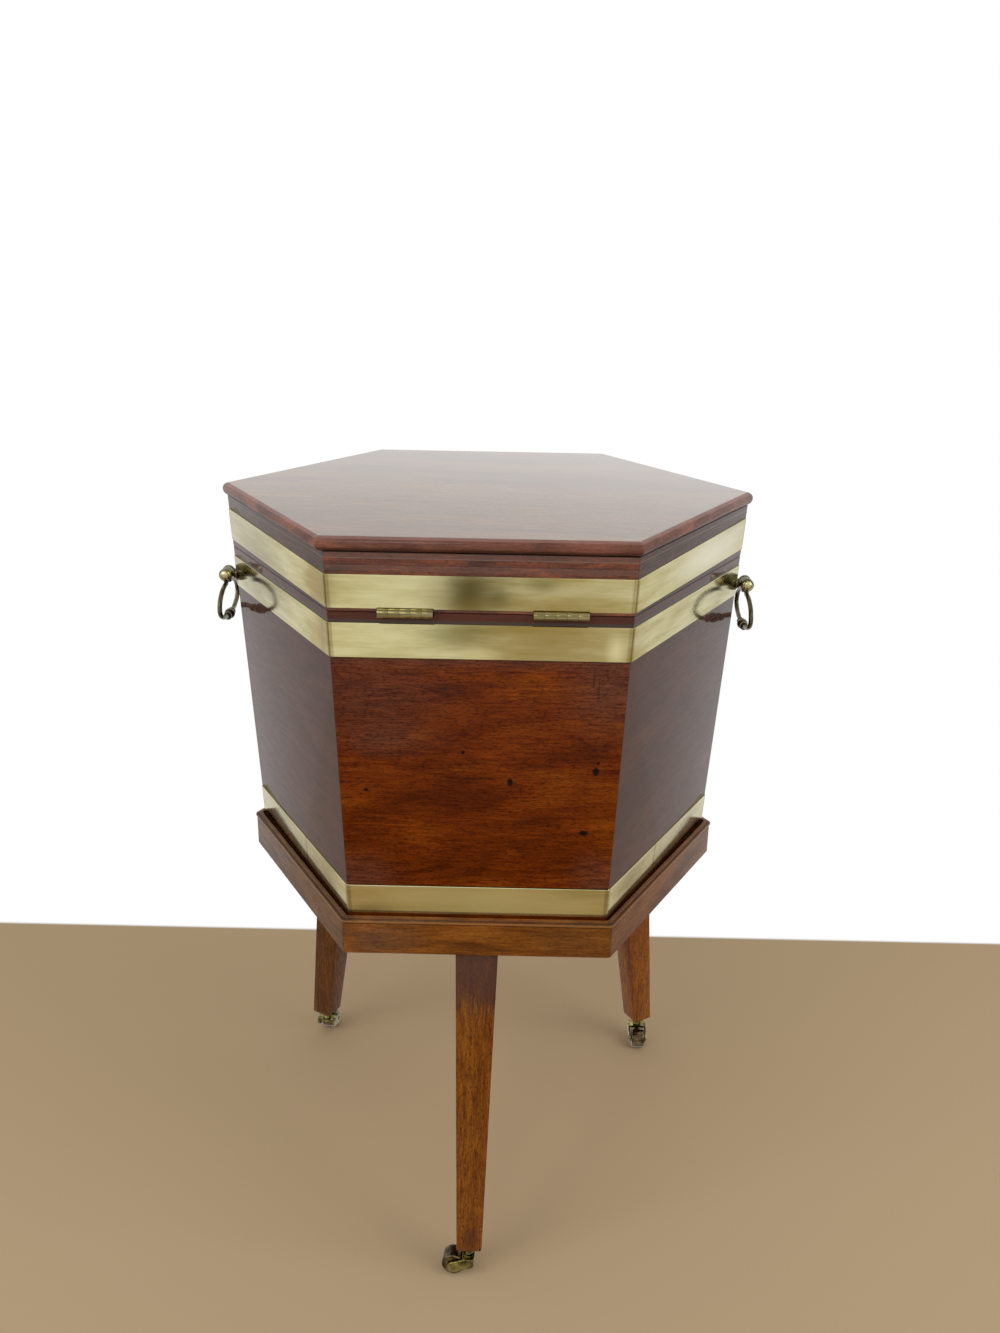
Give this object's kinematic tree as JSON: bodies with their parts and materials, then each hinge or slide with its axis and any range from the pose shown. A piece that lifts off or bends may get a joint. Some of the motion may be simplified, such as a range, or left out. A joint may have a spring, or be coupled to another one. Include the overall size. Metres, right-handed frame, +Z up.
{
  "type": "cellarette",
  "caption": "Hexagonal brass-bound mahogany cellarette: hinged-lid bottle case with drop handles, on a moulded stand with splayed tapered legs and small swivelling casters.",
  "frame": {"origin": "on the floor, under the middle of the bounding box", "axes": "+Z up; +Y towards the lock side, which is the front; -Y towards the hinge side; +X to the right as seen from the hinge side"},
  "size_m": [0.4928, 0.4394, 0.68],
  "materials": {
    "mahogany_top": "polished mahogany, long grain along X",
    "mahogany_frieze": "polished reddish mahogany",
    "mahogany_case": "polished flecked mahogany veneer",
    "mahogany_stand": "polished mahogany",
    "brass_band": "dull, lightly tarnished",
    "brass_fitting": "worn satin",
    "brass_antique": "dark patina with worn highlights",
    "brass_roller": "dark patina",
    "liner_zinc": "matt grey sheet",
    "inner_board": "unpolished softwood",
    "lock_steel": "dull"
  },
  "bodies": {
    "case": {"case_wall_front_right": "mahogany_case", "stand_rail_front_right": "mahogany_stand", "case_wall_front": "mahogany_case", "stand_rail_front": "mahogany_stand", "case_wall_front_left": "mahogany_case", "stand_rail_front_left": "mahogany_stand", "case_wall_back_left": "mahogany_case", "stand_rail_back_left": "mahogany_stand", "case_wall_back": "mahogany_case", "stand_rail_back": "mahogany_stand", "case_wall_back_right": "mahogany_case", "stand_rail_back_right": "mahogany_stand", "case_bottom": "inner_board", "upper_band": "brass_band", "lower_band": "brass_band", "liner": "liner_zinc", "bottle_partition_1": "inner_board", "bottle_partition_2": "inner_board", "bottle_partition_3": "inner_board", "hinge_leaf_case_left": "brass_fitting", "hinge_leaf_case_right": "brass_fitting", "hinge_pins": "brass_fitting", "case_screws": "brass_fitting", "stand_screws": "lock_steel", "lock_case": "lock_steel", "escutcheon": "brass_fitting", "handle_post_left": "brass_antique", "handle_post_right": "brass_antique", "handle_pins": "brass_antique", "leg_back": "mahogany_stand", "caster_stem_back": "brass_antique", "leg_right": "mahogany_stand", "caster_stem_right": "brass_antique", "leg_left": "mahogany_stand", "caster_stem_left": "brass_antique"},
    "lid": {"lid_board": "mahogany_top", "lid_band": "brass_band", "link_plate": "brass_fitting", "lid_screws": "brass_fitting", "lid_rail_front_right": "mahogany_frieze", "lid_rail_front": "mahogany_frieze", "lid_rail_front_left": "mahogany_frieze", "lid_rail_back_left": "mahogany_frieze", "lid_rail_back": "mahogany_frieze", "lid_rail_back_right": "mahogany_frieze", "hinge_leaf_lid_left": "brass_fitting", "hinge_leaf_lid_right": "brass_fitting"},
    "bolt": {"lock_bolt": "lock_steel"},
    "bail_left": {"handle_bail_left": "brass_antique"},
    "bail_right": {"handle_bail_right": "brass_antique"},
    "caster_back": {"caster_fork_back": "brass_antique", "caster_axle_back": "brass_antique"},
    "roller_back": {"caster_roller_back": "brass_roller"},
    "caster_right": {"caster_fork_right": "brass_antique", "caster_axle_right": "brass_antique"},
    "roller_right": {"caster_roller_right": "brass_roller"},
    "caster_left": {"caster_fork_left": "brass_antique", "caster_axle_left": "brass_antique"},
    "roller_left": {"caster_roller_left": "brass_roller"}
  },
  "joints": [
    {"name": "lid_hinge", "type": "hinge", "parent": "case", "child": "lid", "pos_m": [0, -0.19203, 0.621], "axis": [1, 0, 0], "range_deg": [0, 100]},
    {"name": "bolt_slide", "type": "slide", "parent": "case", "child": "bolt", "axis": [-1, 0, 0], "range_m": [0, 0.007]},
    {"name": "bail_left_swing", "type": "hinge", "parent": "case", "child": "bail_left", "pos_m": [-0.2404, 0.01188, 0.595], "axis": [0, 1, 0], "range_deg": [-6, 170]},
    {"name": "bail_right_swing", "type": "hinge", "parent": "case", "child": "bail_right", "pos_m": [0.2404, 0.01188, 0.595], "axis": [0, -1, 0], "range_deg": [-6, 170]},
    {"name": "caster_back_swivel", "type": "hinge", "parent": "case", "child": "caster_back", "pos_m": [-0.00289, -0.2091, 0.0174], "axis": [0, 0, 1], "continuous": true},
    {"name": "roller_back_spin", "type": "hinge", "parent": "caster_back", "child": "roller_back", "pos_m": [-0.01684, -0.20788, 0.0105], "axis": [-0.0872, -0.9962, 0], "continuous": true},
    {"name": "caster_right_swivel", "type": "hinge", "parent": "case", "child": "caster_right", "pos_m": [0.18343, 0.13514, 0.0174], "axis": [0, 0, 1], "continuous": true},
    {"name": "roller_right_spin", "type": "hinge", "parent": "caster_right", "child": "roller_right", "pos_m": [0.18343, 0.12114, 0.0105], "axis": [1, 0, 0], "continuous": true},
    {"name": "caster_left_swivel", "type": "hinge", "parent": "case", "child": "caster_left", "pos_m": [-0.18429, 0.13386, 0.0174], "axis": [0, 0, 1], "continuous": true},
    {"name": "roller_left_spin", "type": "hinge", "parent": "caster_left", "child": "roller_left", "pos_m": [-0.18186, 0.14764, 0.0105], "axis": [-0.9848, 0.1736, 0], "continuous": true}
  ]
}
